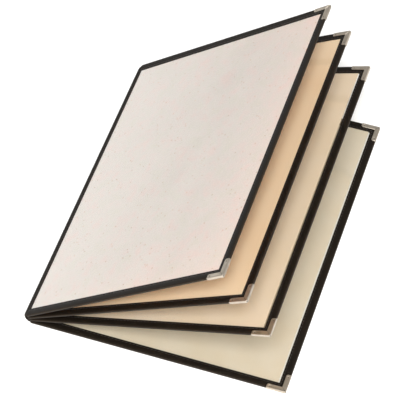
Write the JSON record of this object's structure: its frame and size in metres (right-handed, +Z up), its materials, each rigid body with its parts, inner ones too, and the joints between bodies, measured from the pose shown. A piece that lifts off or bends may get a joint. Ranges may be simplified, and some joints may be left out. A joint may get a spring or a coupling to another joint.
{
  "type": "menu cover",
  "caption": "Booklet menu cover with bound clear pocket leaves, a menu sheet in each pocket, metal fore-edge corners and a soft spine fold.",
  "frame": {"origin": "centre of the bounding box at its base, on the surface that the back cover lies on", "axes": "+X from the spine to the fore-edge, +Y to the top of the page, +Z up out of the back cover"},
  "size_m": [0.2322, 0.2922, 0.1498],
  "materials": {
    "binding": "charcoal leatherette tape, folded and sewn over the pocket edge, low sheen",
    "clear_film": "clear pressed vinyl film, glossy",
    "cream_paper": "plain cream menu paper, matt",
    "parchment_paper": "speckled parchment paper, matt",
    "satin_nickel": "stamped sheet metal with satin nickel plating"
  },
  "bodies": {
    "back_cover": {"back_cover_binding": "binding", "back_cover_upper_film": "clear_film", "back_cover_menu_sheet": "cream_paper", "back_cover_lower_film": "clear_film", "back_cover_top_corner": "satin_nickel", "back_cover_bottom_corner": "satin_nickel", "outer_spine_fold": "binding"},
    "leaf_three": {"leaf_three_binding": "binding", "leaf_three_upper_film": "clear_film", "leaf_three_menu_sheet": "cream_paper", "leaf_three_lower_film": "clear_film", "leaf_three_top_corner": "satin_nickel", "leaf_three_bottom_corner": "satin_nickel", "inner_spine_fold": "binding"},
    "leaf_two": {"leaf_two_binding": "binding", "leaf_two_upper_film": "clear_film", "leaf_two_menu_sheet": "cream_paper", "leaf_two_lower_film": "clear_film", "leaf_two_top_corner": "satin_nickel", "leaf_two_bottom_corner": "satin_nickel"},
    "front_cover": {"front_cover_binding": "binding", "front_cover_upper_film": "clear_film", "front_cover_menu_sheet": "parchment_paper", "front_cover_lower_film": "clear_film", "front_cover_top_corner": "satin_nickel", "front_cover_bottom_corner": "satin_nickel"}
  },
  "joints": [
    {"name": "leaf_three_turn", "type": "hinge", "parent": "back_cover", "child": "leaf_three", "pos_m": [-0.11088, 0, 0.00535], "axis": [0, -1, 0], "range_deg": [-20, 15]},
    {"name": "leaf_two_turn", "type": "hinge", "parent": "leaf_three", "child": "leaf_two", "pos_m": [-0.11088, 0, 0.00535], "axis": [0, -1, 0], "range_deg": [-10.6, 20], "deforming": ["inner_spine_fold"]},
    {"name": "front_cover_turn", "type": "hinge", "parent": "leaf_two", "child": "front_cover", "pos_m": [-0.11088, 0, 0.00535], "axis": [0, -1, 0], "range_deg": [-7.6, 141.8], "deforming": ["outer_spine_fold"]}
  ]
}
